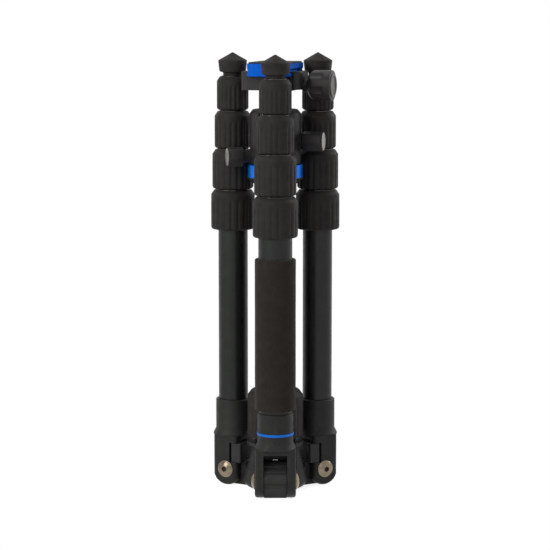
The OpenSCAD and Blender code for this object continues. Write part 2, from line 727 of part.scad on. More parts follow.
// Outline of the plate across the clamp, from its lower face up
module plate_outline(w, t) {
    waist = w / 2 - dovetail;
    polygon([for (s = [1, -1]) each s > 0
        ? [[w / 2 - dovetail_edge, 0], [w / 2, dovetail_edge], [w / 2, 2 * dovetail_edge],
            [waist, 2 * dovetail_edge + dovetail], [waist, lip_h + dovetail_edge],
            [w / 2, lip_h + dovetail + dovetail_edge / 2], [w / 2, t]]
        : [[-w / 2, t], [-w / 2, lip_h + dovetail + dovetail_edge / 2], [-waist, lip_h + dovetail_edge],
            [-waist, 2 * dovetail_edge + dovetail], [-w / 2, 2 * dovetail_edge], [-w / 2, dovetail_edge],
            [-w / 2 + dovetail_edge, 0]]]);
}

// One jaw outline: a wall with a lip that reaches over the plate's bevel
module jaw_outline(from_z) {
    inner = plate_w / 2 + plate_fit;
    lip = inner - dovetail + plate_fit;
    polygon([[inner, from_z], [clamp_half, from_z], [clamp_half, clamp_top + lip_h - dovetail_edge],
        [clamp_half - dovetail_edge, clamp_top + lip_h], [lip, clamp_top + lip_h],
        [lip, clamp_top + 2 * dovetail_edge + dovetail + plate_fit * 2],
        [inner, clamp_top + 2 * dovetail_edge + plate_fit * 2]]);
}

module clamp_body() {
    jaw_x = clamp_half - jaw_t;
    color([0.2, 0.19, 0.185]) on_clamp() difference() {
        intersection() {
            union() {
                translate([-clamp_half, -clamp_w / 2, clamp_z])
                    cube([clamp_half + jaw_x - plate_fit, clamp_w, clamp_t]);
                mirror([1, 0, 0]) rotate([90, 0, 0]) linear_extrude(clamp_w, center = true)
                    jaw_outline(clamp_z + clamp_t / 2);
            }
            linear_extrude(pad_top) rounded(2 * clamp_half, clamp_w, clamp_edge_r);
        }
        translate([0, 0, knob_z]) rotate([0, 90, 0])
            cylinder(d = clamp_screw_d + 2 * screw_fit, h = clamp_half + cut);
    }
}

// The sliding jaw, which the screw draws in against the plate
module clamp_jaw() {
    color([0.2, 0.19, 0.185]) on_clamp() difference() {
        intersection() {
            rotate([90, 0, 0]) linear_extrude(jaw_w, center = true) union() {
                jaw_outline(clamp_z + ring_bevel);
            }
            linear_extrude(pad_top) rounded(2 * clamp_half, jaw_w, clamp_edge_r);
        }
        translate([0, 0, knob_z]) rotate([0, 90, 0])
            cylinder(d = clamp_screw_d + 2 * screw_fit, h = clamp_half + cut);
    }
}

// The lobed knob on the clamp's screw
module clamp_knob() {
    r = clamp_knob_d / 2;
    h = clamp_knob_out - end_cap_h - clamp_knob_in;
    color([0.17, 0.165, 0.16]) along(clamp_az, knob_z) union() {
        translate([0, 0, clamp_knob_in]) difference() {
            rotate_extrude() polygon([[0, 0], [r - clamp_knob_h, 0], [r, knob_cone_h],
                [r, h - ring_bevel], [r - ring_bevel, h], [0, h]]);
            for (k = [0:knob_lobes - 1]) rotate([0, 0, (2 * k + 1) * FULL / 2 / knob_lobes])
                translate([r * hollow_at, 0, -cut]) cylinder(r = r * hollow_r, h = h * hollow_len + cut);
        }
        translate([0, 0, clamp_half + head_gap]) cylinder(r = knob_collar_r, h = clamp_knob_in - clamp_half);
        translate([0, 0, knob_collar_r]) cylinder(d = clamp_screw_d, h = clamp_knob_in - knob_collar_r + cut);
    }
}

module clamp_knob_cap() {
    half = end_cap_h / 2;
    color([0.45, 0.44, 0.43]) along(clamp_az, knob_z) translate([0, 0, clamp_knob_out - end_cap_h])
        rotate_extrude() polygon([[0, 0], [disc_r, 0], [disc_r, half], [disc_r - half, end_cap_h],
            [disc_r - disc_rim, end_cap_h], [disc_r - disc_rim - half, half], [0, half]]);
}

module quick_plate() {
    bore = camera_screw_d / 2 + screw_head_fit;
    head = screw_head_d / 2 + screw_head_fit;
    color([0.01, 0.42, 0.9]) on_clamp() difference() {
        intersection() {
            translate([0, 0, plate_z]) rotate([90, 0, 0]) linear_extrude(plate_l, center = true)
                plate_outline(plate_w, plate_t);
            linear_extrude(pad_top) rounded(plate_w, plate_l, plate_corner_r);
        }
        translate([0, 0, plate_top - pad_sink]) linear_extrude(pad_sink + cut)
            rounded(plate_w - 2 * pad_inset, plate_l - 2 * pad_inset, plate_corner_r - pad_inset);
        translate([0, 0, plate_z - cut]) cylinder(r = bore, h = plate_t + 2 * cut);
        translate([0, 0, plate_z - cut]) cylinder(r = head, h = screw_head_h + 2 * screw_head_fit + cut);
    }
}

module plate_pad() {
    side = 2 * (pad_inset + screw_fit);
    color([0.16, 0.155, 0.15]) on_clamp() translate([0, 0, plate_top - pad_sink]) difference() {
        linear_extrude(pad_sink + pad_h)
            rounded(plate_w - side, plate_l - side, plate_corner_r - side / 2);
        translate([0, 0, -cut]) cylinder(d = camera_screw_d + 2 * screw_head_fit, h = pad_sink + pad_h + 2 * cut);
    }
}

module camera_screw() {
    low = plate_z + screw_head_fit;
    thread_z = pad_top + thread_gap;
    color([0.6, 0.6, 0.6]) difference() {
        union() {
            translate([0, 0, low]) cylinder(d = screw_head_d, h = screw_head_h);
            translate([0, 0, low]) cylinder(d = camera_neck_d, h = thread_z - low + cut);
            translate([0, 0, thread_z])
                cylinder(d = camera_screw_d, h = camera_screw_h - thread_gap - ring_bevel);
            translate([0, 0, pad_top + camera_screw_h - ring_bevel])
                cylinder(d1 = camera_screw_d, d2 = camera_screw_d - 2 * ring_bevel, h = ring_bevel);
        }
        translate([-screw_head_d / 2 - cut, -pad_inset / 2, low - cut])
            cube([screw_head_d + 2 * cut, pad_inset, screw_head_h / 2 + cut]);
    }
}

spider();
hinge_bolts();
column_tube();
column_cap();
column_lock();
trim_ring();  // front_trim_ring
grip();  // front_grip
for (i = [0:len(LEG_NAMES) - 1]) {
    leg = LEG_NAMES[i];
    yoke(i);
    latch_tab(i);
    for (n = [1:TUBES]) leg_tube(i, n);
    for (n = [1:LOCKS]) leg_lock(i, n);
    leg_foot(i);
}
head_base();
pan_ring();
ball_housing();
ball_seat();
ball();
pan_knob();
pan_knob_cap();
ball_knob();
ball_knob_cap();
clamp_body();
clamp_jaw();
clamp_knob();
clamp_knob_cap();
quick_plate();
plate_pad();
camera_screw();
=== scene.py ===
"""Travel tripod, folded for carrying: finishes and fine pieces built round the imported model.

The legs are turned up round a ball head. Locks, feet and the foam take their place and outer size
from the box of the node that they stand for, and knobs and bolts take their height from it. The
fields of the classes hold the rest: the fine shapes, and the distances that no box shows.
"""

import json
import logging
import math
from dataclasses import dataclass, field
from enum import Enum
from typing import Callable, Iterable, Sequence

import bmesh
import bpy
from mathutils import Matrix, Vector

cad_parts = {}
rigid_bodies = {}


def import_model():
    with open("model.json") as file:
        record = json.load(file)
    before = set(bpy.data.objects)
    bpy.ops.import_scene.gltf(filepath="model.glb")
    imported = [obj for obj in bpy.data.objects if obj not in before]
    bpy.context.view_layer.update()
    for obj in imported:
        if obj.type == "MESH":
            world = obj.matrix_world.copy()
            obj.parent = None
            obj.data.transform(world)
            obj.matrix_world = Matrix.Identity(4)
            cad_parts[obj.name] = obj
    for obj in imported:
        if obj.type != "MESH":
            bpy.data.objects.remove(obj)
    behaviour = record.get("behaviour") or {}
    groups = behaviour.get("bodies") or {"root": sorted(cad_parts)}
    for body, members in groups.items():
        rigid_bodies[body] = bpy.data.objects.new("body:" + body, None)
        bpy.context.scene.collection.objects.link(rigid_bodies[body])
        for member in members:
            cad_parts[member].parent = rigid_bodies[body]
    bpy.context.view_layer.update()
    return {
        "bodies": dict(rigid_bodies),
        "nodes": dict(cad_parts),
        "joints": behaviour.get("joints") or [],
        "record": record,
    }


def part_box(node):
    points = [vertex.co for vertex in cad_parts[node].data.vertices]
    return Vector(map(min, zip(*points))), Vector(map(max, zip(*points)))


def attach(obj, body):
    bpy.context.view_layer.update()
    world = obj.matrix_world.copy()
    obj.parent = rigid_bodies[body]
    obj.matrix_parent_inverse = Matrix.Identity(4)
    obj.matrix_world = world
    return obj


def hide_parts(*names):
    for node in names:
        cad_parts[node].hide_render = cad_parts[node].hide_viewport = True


LOG = logging.getLogger("travel_tripod")
MM = 0.001
FULL_TURN = 2.0 * math.pi
Profile = Sequence[tuple[float, float]]
Colour = tuple[float, float, float]


class Pattern(Enum):
    """The fine surface pattern of a finish."""

    GRAIN = "moulded or cast grain"
    FOAM = "open cells of foam rubber"
    DRAWN = "faint lines along a drawn tube"
    TURNED = "rings left by a lathe"
    PLAIN = "polished"


class Side(Enum):
    """The three legs, each with the direction in which it stands from the column."""

    FRONT = ("front", -90.0)
    RIGHT = ("right", 30.0)
    LEFT = ("left", 150.0)

    @property
    def label(self) -> str:
        """The leg's name in the frame."""
        return self.value[0]

    @property
    def azimuth(self) -> float:
        """The leg's direction, in degrees."""
        return self.value[1]


class NodeTree:
    """A short way to add and join shader nodes."""

    def __init__(self, material: bpy.types.Material) -> None:
        """Empties the material's tree and keeps it.

        Args:
            material: the material whose nodes are made.
        """
        material.use_nodes = True
        self.tree = material.node_tree
        self.tree.nodes.clear()

    def add(self, kind: str, **values: object) -> bpy.types.Node:
        """Adds a node.

        Args:
            kind: the node's type, such as ShaderNodeBump.
            values: attributes of the node, or values of its inputs by name with _ for spaces.

        Returns:
            The new node.
        """
        node = self.tree.nodes.new(kind)
        for name, value in values.items():
            if hasattr(node, name):
                setattr(node, name, value)
            else:
                node.inputs[name.replace("_", " ")].default_value = value
        return node

    def join(self, source: bpy.types.NodeSocket, target: bpy.types.NodeSocket) -> None:
        """Links one socket to another."""
        self.tree.links.new(source, target)


@dataclass(frozen=True)
class Finish:
    """One finish of the tripod, made as a procedural material.

    Cloud is the slow change of its colour, and smear that of its gloss.
    """

    name: str
    slot: str
    colour: Colour
    roughness: float
    metallic: float = 0.0
    sheen: float = 0.0
    specular: float = 0.5
    pattern: Pattern = Pattern.GRAIN
    grain_per_m: float = 2600.0
    grain_depth: float = 0.15
    mottle: float = 0.12
    wear: float = 0.0
    edge_mm: float = 0.35
    cloud_per_m: float = 90.0
    smear_per_m: float = 160.0
    smear: float = 0.16
    relief_mm: float = 0.2

    def material(self) -> bpy.types.Material:
        """Makes the material, or finds it if it was made before.

        Returns:
            The finish as a Blender material.
        """
        known = bpy.data.materials.get(self.name)
        if known is not None:
            return known
        material = bpy.data.materials.new(self.name)
        net = NodeTree(material)
        output = net.add("ShaderNodeOutputMaterial")
        shader = net.add("ShaderNodeBsdfPrincipled")
        shader.inputs["Metallic"].default_value = self.metallic
        shader.inputs["Sheen Weight"].default_value = self.sheen
        shader.inputs["Specular IOR Level"].default_value = self.specular
        net.join(shader.outputs["BSDF"], output.inputs["Surface"])
        place = net.add("ShaderNodeTexCoord").outputs["Object"]
        net.join(self._tint(net, place), shader.inputs["Base Color"])
        net.join(self._gloss(net, place), shader.inputs["Roughness"])
        net.join(self._relief(net, place), shader.inputs["Normal"])
        material.diffuse_color = (*self.colour, 1.0)
        return material

    def _tint(self, net: NodeTree, place: bpy.types.NodeSocket) -> bpy.types.NodeSocket:
        """Colour with slow mottling, paler where edges are worn.

        Args:
            net: the material's nodes.
            place: the object coordinates.

        Returns:
            The colour socket.
        """
        cloud = net.add("ShaderNodeTexNoise", Scale=self.cloud_per_m, Detail=4.0, Roughness=0.6)
        net.join(place, cloud.inputs["Vector"])
        ramp = net.add("ShaderNodeValToRGB")
        low, high = 1.0 - self.mottle, 1.0 + self.mottle
        ramp.color_ramp.elements[0].position = 0.35
        ramp.color_ramp.elements[0].color = (*(c * low for c in self.colour), 1.0)
        ramp.color_ramp.elements[1].position = 0.65
        ramp.color_ramp.elements[1].color = (*(c * high for c in self.colour), 1.0)
        net.join(cloud.outputs["Fac"], ramp.inputs["Fac"])
        if self.wear <= 0.0:
            return ramp.outputs["Color"]
        pointed = net.add("ShaderNodeNewGeometry").outputs["Pointiness"]
        edge = net.add("ShaderNodeMapRange", From_Min=0.53, From_Max=0.60, To_Min=0.0,
                       To_Max=self.wear)
        net.join(pointed, edge.inputs["Value"])
        mix = net.add("ShaderNodeMix", data_type="RGBA")
        net.join(edge.outputs["Result"], mix.inputs["Factor"])
        net.join(ramp.outputs["Color"], mix.inputs["A"])
        mix.inputs["B"].default_value = (*(min(1.0, 0.12 + 2.0 * c) for c in self.colour), 1.0)
        return mix.outputs["Result"]

    def _gloss(self, net: NodeTree, place: bpy.types.NodeSocket) -> bpy.types.NodeSocket:
        """Roughness that varies a little, as handling leaves it.

        Args:
            net: the material's nodes.
            place: the object coordinates.

        Returns:
            The roughness socket.
        """
        smear = net.add("ShaderNodeTexNoise", Scale=self.smear_per_m, Detail=3.0, Roughness=0.55)
        net.join(place, smear.inputs["Vector"])
        spread = self.smear * self.roughness
        level = net.add("ShaderNodeMapRange", From_Min=0.3, From_Max=0.7,
                        To_Min=self.roughness - spread, To_Max=self.roughness + spread)
        net.join(smear.outputs["Fac"], level.inputs["Value"])
        return level.outputs["Result"]

    def _relief(self, net: NodeTree, place: bpy.types.NodeSocket) -> bpy.types.NodeSocket:
        """Fine relief of the surface over softly rounded edges.

        Args:
            net: the material's nodes.
            place: the object coordinates.

        Returns:
            The normal socket.
        """
        rounded = net.add("ShaderNodeBevel", samples=6)
        rounded.inputs["Radius"].default_value = self.edge_mm * MM
        if self.pattern is Pattern.PLAIN:
            return rounded.outputs["Normal"]
        bump = net.add("ShaderNodeBump", Strength=self.grain_depth, Distance=self.relief_mm * MM)
        net.join(rounded.outputs["Normal"], bump.inputs["Normal"])
        net.join(self._height(net, place), bump.inputs["Height"])
        return bump.outputs["Normal"]

    def _height(self, net: NodeTree, place: bpy.types.NodeSocket) -> bpy.types.NodeSocket:
        """Height of the surface pattern.

        Args:
            net: the material's nodes.
            place: the object coordinates.

        Returns:
            The height socket.
        """
        if self.pattern is Pattern.FOAM:
            cells = net.add("ShaderNodeTexVoronoi", Scale=self.grain_per_m, Randomness=1.0)
            net.join(place, cells.inputs["Vector"])
            return cells.outputs["Distance"]
        if self.pattern is Pattern.DRAWN:
            stretch = net.add("ShaderNodeMapping")
            stretch.inputs["Scale"].default_value = (1.0, 1.0, 0.02)
            net.join(place, stretch.inputs["Vector"])
            place = stretch.outputs["Vector"]
        if self.pattern is Pattern.TURNED:
            rings = net.add("ShaderNodeTexWave", wave_type="RINGS", rings_direction="SPHERICAL",
                            Scale=self.grain_per_m, Distortion=0.4, Detail=1.0)
            net.join(place, rings.inputs["Vector"])
            return rings.outputs["Fac"]
        grain = net.add("ShaderNodeTexNoise", Scale=self.grain_per_m, Detail=3.0, Roughness=0.65)
        net.join(place, grain.inputs["Vector"])
        return grain.outputs["Fac"]


RUBBER = Finish("grip_rubber", "rubber", (0.021, 0.0198, 0.0185), 0.60, specular=0.16,
                grain_per_m=3200.0, grain_depth=0.22, wear=0.04)
FOOT_RUBBER = Finish("foot_rubber", "rubber", (0.028, 0.0268, 0.0245), 0.74, specular=0.16,
                     grain_per_m=2400.0, grain_depth=0.3, mottle=0.16, wear=0.06)
FOAM = Finish("grip_foam", "foam", (0.032, 0.0265, 0.0227), 0.94, sheen=0.10, specular=0.08,
              pattern=Pattern.FOAM, grain_per_m=1500.0, grain_depth=0.35, mottle=0.1, edge_mm=0.8)
TUBE = Finish("anodised_tube", "tube_black", (0.027, 0.029, 0.027), 0.39, metallic=0.8,
              specular=0.25, pattern=Pattern.DRAWN, grain_per_m=5200.0, grain_depth=0.05,
              mottle=0.06, edge_mm=0.2)
CASTING = Finish("cast_alloy", "cast_black", (0.020, 0.0195, 0.0185), 0.50, metallic=0.1,
                 specular=0.2, grain_per_m=2800.0, grain_depth=0.16, wear=0.06, edge_mm=0.6)
HEAD_ALLOY = Finish("head_alloy", "head_black", (0.026, 0.0245, 0.0235), 0.46, metallic=0.2,
                    specular=0.2, grain_per_m=3400.0, grain_depth=0.12, wear=0.05, edge_mm=0.5)
TAB_GREY = Finish("latch_grey", "tab_grey", (0.034, 0.034, 0.033), 0.5, metallic=0.2, specular=0.2,
                  grain_per_m=3000.0, grain_depth=0.12, wear=0.06, edge_mm=0.5)
BLUE = Finish("blue_anodised", "blue", (0.003, 0.185, 0.78), 0.36, metallic=0.65, specular=0.15,
              grain_per_m=6000.0, grain_depth=0.05, mottle=0.05, edge_mm=0.4)
PLATE_BLUE = Finish("blue_plate", "blue", (0.001, 0.125, 0.70), 0.55, metallic=0.08, specular=0.08,
                    grain_per_m=6000.0, grain_depth=0.05, mottle=0.05, edge_mm=0.4)
TRIM_BLUE = Finish("blue_trim", "blue", (0.010, 0.135, 0.52), 0.42, metallic=0.7, specular=0.2,
                   grain_per_m=6000.0, grain_depth=0.05, mottle=0.05, edge_mm=0.3)
CHROME = Finish("warm_plating", "chrome", (0.185, 0.153, 0.108), 0.24, metallic=1.0,
                grain_per_m=520.0, grain_depth=0.6, mottle=0.25, edge_mm=0.2)
STEEL = Finish("turned_steel", "steel", (0.45, 0.45, 0.44), 0.3, metallic=1.0,
               pattern=Pattern.TURNED, grain_per_m=700.0, grain_depth=0.06, edge_mm=0.2)
BRIGHT_PIN = Finish("bright_pin", "steel", (0.86, 0.85, 0.80), 0.25, metallic=1.0,
                    pattern=Pattern.PLAIN, mottle=0.02, edge_mm=0.2)
CAP_METAL = Finish("turned_cap", "cap_metal", (0.175, 0.172, 0.166), 0.34, metallic=1.0,
                   pattern=Pattern.TURNED, grain_per_m=800.0, grain_depth=0.05, mottle=0.08,
                   edge_mm=0.2)
RING_METAL = Finish("ring_metal", "cap_metal", (0.080, 0.077, 0.073), 0.40, metallic=1.0,
                    pattern=Pattern.TURNED, grain_per_m=800.0, grain_depth=0.05, mottle=0.08,
                    edge_mm=0.2)
NECK_METAL = Finish("neck_metal", "cap_metal", (0.075, 0.073, 0.068), 0.20, metallic=1.0,
                    grain_per_m=700.0, grain_depth=0.5, mottle=0.2, edge_mm=0.2)
DARK_CAP = Finish("cap_dark", "cap_metal", (0.048, 0.046, 0.043), 0.38, metallic=0.8,
                  pattern=Pattern.TURNED, grain_per_m=800.0, grain_depth=0.06, edge_mm=0.2)
WHITE_PLASTIC = Finish("seat_plastic", "seat", (0.55, 0.53, 0.47), 0.5)


class Maker:
    """Makes meshes from bmesh operators and hands them to the frame."""

    @staticmethod
    def piece(name: str, mesh: bmesh.types.BMesh, finish: Finish,
              smooth_deg: float = 35.0) -> bpy.types.Object:
        """Turns a bmesh into an object with its finish.

        Args:
            name: the piece's name.
            mesh: the finished bmesh, which is freed.
            finish: the finish that it takes.
            smooth_deg: edges sharper than this stay sharp.

        Returns:
            The new object, at the origin.
        """
        bmesh.ops.remove_doubles(mesh, verts=mesh.verts, dist=1e-7)
        bmesh.ops.recalc_face_normals(mesh, faces=mesh.faces)
        data = bpy.data.meshes.new(name)
        mesh.to_mesh(data)
        mesh.free()
        data.shade_smooth()
        data.set_sharp_from_angle(angle=math.radians(smooth_deg))
        piece = bpy.data.objects.new(name, data)
        bpy.context.scene.collection.objects.link(piece)
        data.materials.append(finish.material())
        return piece

    @staticmethod
    def revolve(profile: Profile, steps: int, closed: bool = True) -> bmesh.types.BMesh:
        """Spins an outline of (radius, height) pairs in metres round the Z axis.

        Args:
            profile: the outline, in order.
            steps: steps in a full turn.
            closed: whether the outline's end joins its start.

        Returns:
            The solid of revolution.
        """
        mesh = bmesh.new()
        verts = [mesh.verts.new((r, 0.0, z)) for r, z in profile]
        edges = [mesh.edges.new(pair) for pair in zip(verts, verts[1:])]
        if closed:
            edges.append(mesh.edges.new((verts[-1], verts[0])))
        bmesh.ops.spin(mesh, geom=verts + edges, cent=(0, 0, 0), axis=(0, 0, 1), dvec=(0, 0, 0),
                       angle=FULL_TURN, steps=steps, use_merge=True, use_duplicate=False)
        bmesh.ops.remove_doubles(mesh, verts=mesh.verts, dist=1e-7)
        return mesh

    @staticmethod
    def bevel(mesh: bmesh.types.BMesh, width: float, keep: Callable[[bmesh.types.BMEdge], bool],
              segments: int = 3, clamp: bool = True) -> None:
        """Rounds the edges that a test picks.

        Args:
            mesh: the mesh to round.
            width: width of the rounding, in metres.
            keep: the test for an edge.
            segments: segments across the rounding.
            clamp: whether the width shrinks where roundings would meet.
        """
        edges = [edge for edge in mesh.edges if keep(edge)]
        bmesh.ops.bevel(mesh, geom=edges, offset=width, offset_type="OFFSET", segments=segments,
                        profile=0.5, affect="EDGES", clamp_overlap=clamp, material=-1)

    @staticmethod
    def sharp(angle_deg: float) -> Callable[[bmesh.types.BMEdge], bool]:
        """A test for edges between faces that meet at more than an angle."""
        limit = math.radians(angle_deg)
        return lambda edge: len(edge.link_faces) == 2 and edge.calc_face_angle() > limit

    @staticmethod
    def place(mesh: bmesh.types.BMesh, matrix: Matrix) -> None:
        """Moves a whole mesh to its place."""
        bmesh.ops.transform(mesh, matrix=matrix, verts=mesh.verts)


def arc(cx: float, cz: float, radius: float, start: float, end: float,
        steps: int) -> list[tuple[float, float]]:
    """Points on a circle, for the rounded stretches of an outline.

    Args:
        cx: radius coordinate of the centre.
        cz: height of the centre.
        radius: the circle's radius.
        start: first angle, in degrees.
        end: last angle, in degrees.
        steps: number of steps.

    Returns:
        The points in order.
    """
    angles = [math.radians(start + (end - start) * i / steps) for i in range(steps + 1)]
    return [(cx + radius * math.cos(a), cz + radius * math.sin(a)) for a in angles]


def in_metres(outline_mm: Profile, rise_mm: float = 0.0) -> list[tuple[float, float]]:
    """Turns an outline given in millimetres into metres.

    Args:
        outline_mm: the (radius, height) pairs.
        rise_mm: what each height is raised by.

    Returns:
        The outline in metres.
    """
    return [(r * MM, (z + rise_mm) * MM) for r, z in outline_mm]


def axis_frame(centre: Vector, direction: Vector) -> Matrix:
    """A placement that turns a piece made along +Z to point in a direction.

    Args:
        centre: where the piece's origin goes.
        direction: where its +Z points.

    Returns:
        The placement.
    """
    turn = Vector((0, 0, 1)).rotation_difference(direction).to_matrix().to_4x4()
    return Matrix.Translation(centre) @ turn


def heading(azimuth: float) -> Vector:
    """The level unit vector in a direction given in degrees."""
    a = math.radians(azimuth)
    return Vector((math.cos(a), math.sin(a), 0.0))


def middle(node: str) -> Vector:
    """The centre of a node's box."""
    low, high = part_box(node)
    return (low + high) / 2


def dress(frame: dict, finish: Finish, nodes: Iterable[str]) -> None:
    """Gives nodes of the frame a finish.

    Args:
        frame: the loaded frame.
        finish: the finish.
        nodes: the nodes' names.
    """
    for name in nodes:
        node = frame["nodes"][name]
        node.data.materials.clear()
        node.data.materials.append(finish.material())
        LOG.info("%s dressed in %s", name, finish.name)


@dataclass
class TwistLock:
    """The rubber sleeve of a twist lock, with its ribs and the bright ring at its neck.

    The grooves stop short of a plain band, which lies a little back from the ribs. The azimuth
    turns them with the leg, as the frame has them.
    """

    node: str
    body: str
    ribs: int = 20
    steps_per_rib: int = 8
    rows: int = 10
    groove_mm: float = 0.55
    groove_half_mm: float = 0.95
    groove_end_mm: float = 1.5
    wall_mm: float = 5.3
    round_mm: float = 2.2
    lip_mm: float = 0.5
    bevel_h_mm: float = 3.8
    bevel_w_mm: float = 2.8
    band_mm: float = 3.6
    band_row_mm: float = 0.6
    band_back_mm: float = 0.06
    has_neck: bool = True
    neck_in_mm: float = 1.1
    neck_h_mm: tuple[float, float, float] = (-0.6, 0.5, 0.75)
    neck_edge_mm: float = 0.3
    azimuth: float = 0.0

    def outline(self, radius: float, height: float, bore: float) -> list[tuple[float, float]]:
        """The lock's section, from its lower rim up the outside and back down the bore.

        Args:
            radius: outer radius in metres.
            height: length in metres.
            bore: radius of the hole in metres.

        Returns:
            The outline of (radius, height) pairs.
        """
        rim, lip = self.round_mm * MM, self.lip_mm * MM
        top = height - self.bevel_h_mm * MM
        band = top - self.band_mm * MM
        slope = self.bevel_w_mm * MM
        plain = radius - self.band_back_mm * MM
        side = [(radius, rim + (band - rim) * k / self.rows) for k in range(1, self.rows)]
        return ([(bore, 0.0)] + arc(radius - rim, rim, rim, -90.0, 0.0, 6) + side
                + [(plain, band), (plain, band + self.band_row_mm * MM), (plain, top - lip),
                   (plain - 0.15 * lip, top), (radius - slope + lip, height - lip),
                   (radius - slope - 0.2 * lip, height), (bore, height)])

    def ribbed(self, mesh: bmesh.types.BMesh, radius: float, height: float) -> None:
        """Presses the grip grooves into the outer wall.

        Args:
            mesh: the lock's mesh, standing at the origin.
            radius: its outer radius.
            height: its length.
        """
        top = height - (self.bevel_h_mm + self.band_mm) * MM
        pitch = FULL_TURN / self.ribs
        for vert in mesh.verts:
            r = math.hypot(vert.co.x, vert.co.y)
            if r < radius - self.round_mm * MM * 0.75 or vert.co.z > top + 0.1 * MM:
                continue
            turn = math.atan2(vert.co.y, vert.co.x) % pitch
            away = (turn - pitch / 2) * radius / (self.groove_half_mm * MM)
            fade = min(1.0, (top - vert.co.z) / (self.groove_end_mm * MM) + 0.02)
            depth = self.groove_mm * MM * math.exp(-away * away) * max(fade, 0.0)
            vert.co.x *= (r - depth) / r
            vert.co.y *= (r - depth) / r

    def build(self) -> None:
        """Builds the lock over its node."""
        low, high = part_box(self.node)
        centre = (low + high) / 2
        radius = (high.x - low.x) / 2
        height = high.z - low.z
        bore = radius - self.wall_mm * MM
        mesh = Maker.revolve(self.outline(radius, height, bore), self.ribs * self.steps_per_rib)
        self.ribbed(mesh, radius, height)
        turn = Matrix.Rotation(math.radians(self.azimuth), 4, "Z")
        Maker.place(mesh, Matrix.Translation((centre.x, centre.y, low.z)) @ turn)
        piece = Maker.piece(f"{self.node}_sleeve", mesh, RUBBER, 40.0)
        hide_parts(self.node)
        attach(piece, self.body)
        LOG.info("%s ribbed", self.node)
        if self.has_neck:
            self.neck(centre, radius, high.z)

    def neck(self, centre: Vector, radius: float, top: float) -> None:
        """The bright ring where the next tube leaves the lock.

        Args:
            centre: the lock's centre.
            radius: its outer radius.
            top: height of its end face.
        """
        outer = radius - (self.bevel_w_mm + self.neck_in_mm) * MM
        inner = radius - self.wall_mm * MM
        low, edge, high = (h * MM for h in self.neck_h_mm)
        mesh = Maker.revolve([(inner, low), (outer, low), (outer, edge),
                              (outer - self.neck_edge_mm * MM, high), (inner, high)], 64)
        Maker.place(mesh, Matrix.Translation((centre.x, centre.y, top)))
        piece = Maker.piece(f"{self.node}_neck_ring", mesh, NECK_METAL)
        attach(piece, self.body)


@dataclass
class Foot:
    """A rubber foot: a short neck, a flared side and a blunt cone.

    Throat and tip points are counted downward, and the brim's points in widths of its edge.
    """

    node: str
    body: str
    neck_mm: float = 8.0
    low_mm: float = 11.3
    edge_mm: float = 0.55
    flare_at_mm: float = 4.4
    throat_mm: Profile = ((0.0, 1.6), (0.8, 1.0))
    lip_mm: float = 0.6
    cone_mm: float = 6.8
    brim: Profile = ((0.15, -1.0), (0.4, 0.35), (1.6, 1.0))
    tip_mm: Profile = ((1.4, 0.6), (0.7, 0.15))

    def build(self) -> None:
        """Builds the foot over its node."""
        low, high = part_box(self.node)
        centre = (low + high) / 2
        r = (high.x - low.x) / 2
        h = high.z - low.z
        neck, foot = self.neck_mm * MM, self.low_mm * MM
        e = self.edge_mm * MM
        side, start = h - self.cone_mm * MM, self.flare_at_mm * MM
        outline = [(0.0, 0.0), (neck, 0.0)]
        outline += [(neck + x * MM, start - z * MM) for x, z in self.throat_mm]
        outline += [(foot - e, start - self.lip_mm * MM), (foot, start + e)]
        outline += [(r - x * e, side + z * e) for x, z in self.brim]
        outline += [(x * MM, h - z * MM) for x, z in self.tip_mm] + [(0.0, h)]
        mesh = Maker.revolve(outline, 96, closed=False)
        Maker.place(mesh, Matrix.Translation((centre.x, centre.y, low.z)))
        piece = Maker.piece(f"{self.node}_rubber", mesh, FOOT_RUBBER, 28.0)
        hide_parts(self.node)
        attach(piece, self.body)
        LOG.info("%s built", self.node)


@dataclass
class FoamGrip:
    """The foam sleeve on the front leg."""

    node: str = "front_grip"
    body: str = "front_leg"
    wall_mm: float = 2.9
    soft_mm: float = 1.3
    rows: int = 48
    swell_mm: float = 0.10
    waves_round: int = 3
    twist_per_m: float = 60.0
    waves_per_m: float = 140.0

    def build(self) -> None:
        """Builds the foam over its node, with soft ends and a faintly uneven side."""
        low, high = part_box(self.node)
        centre = (low + high) / 2
        r = (high.x - low.x) / 2
        h = high.z - low.z
        soft = self.soft_mm * MM
        side = [(r, soft + (h - 2 * soft) * k / self.rows) for k in range(1, self.rows)]
        inner = r - self.wall_mm * MM
        outline = ([(inner, 0.0)] + arc(r - soft, soft, soft, -90.0, 0.0, 5) + side
                   + arc(r - soft, h - soft, soft, 0.0, 90.0, 5) + [(inner, h)])
        mesh = Maker.revolve(outline, 96)
        for vert in mesh.verts:
            turn = math.atan2(vert.co.y, vert.co.x)
            slant = math.sin(self.waves_round * turn + self.twist_per_m * vert.co.z)
            wave = slant * math.sin(self.waves_per_m * vert.co.z + turn)
            scale = 1.0 - self.swell_mm * MM * (1.0 + wave) / (2 * r)
            if math.hypot(vert.co.x, vert.co.y) > inner * 1.01:
                vert.co.x *= scale
                vert.co.y *= scale
        Maker.place(mesh, Matrix.Translation((centre.x, centre.y, low.z)))
        piece = Maker.piece("foam_sleeve", mesh, FOAM, 60.0)
        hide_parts(self.node)
        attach(piece, self.body)
        LOG.info("foam grip built")


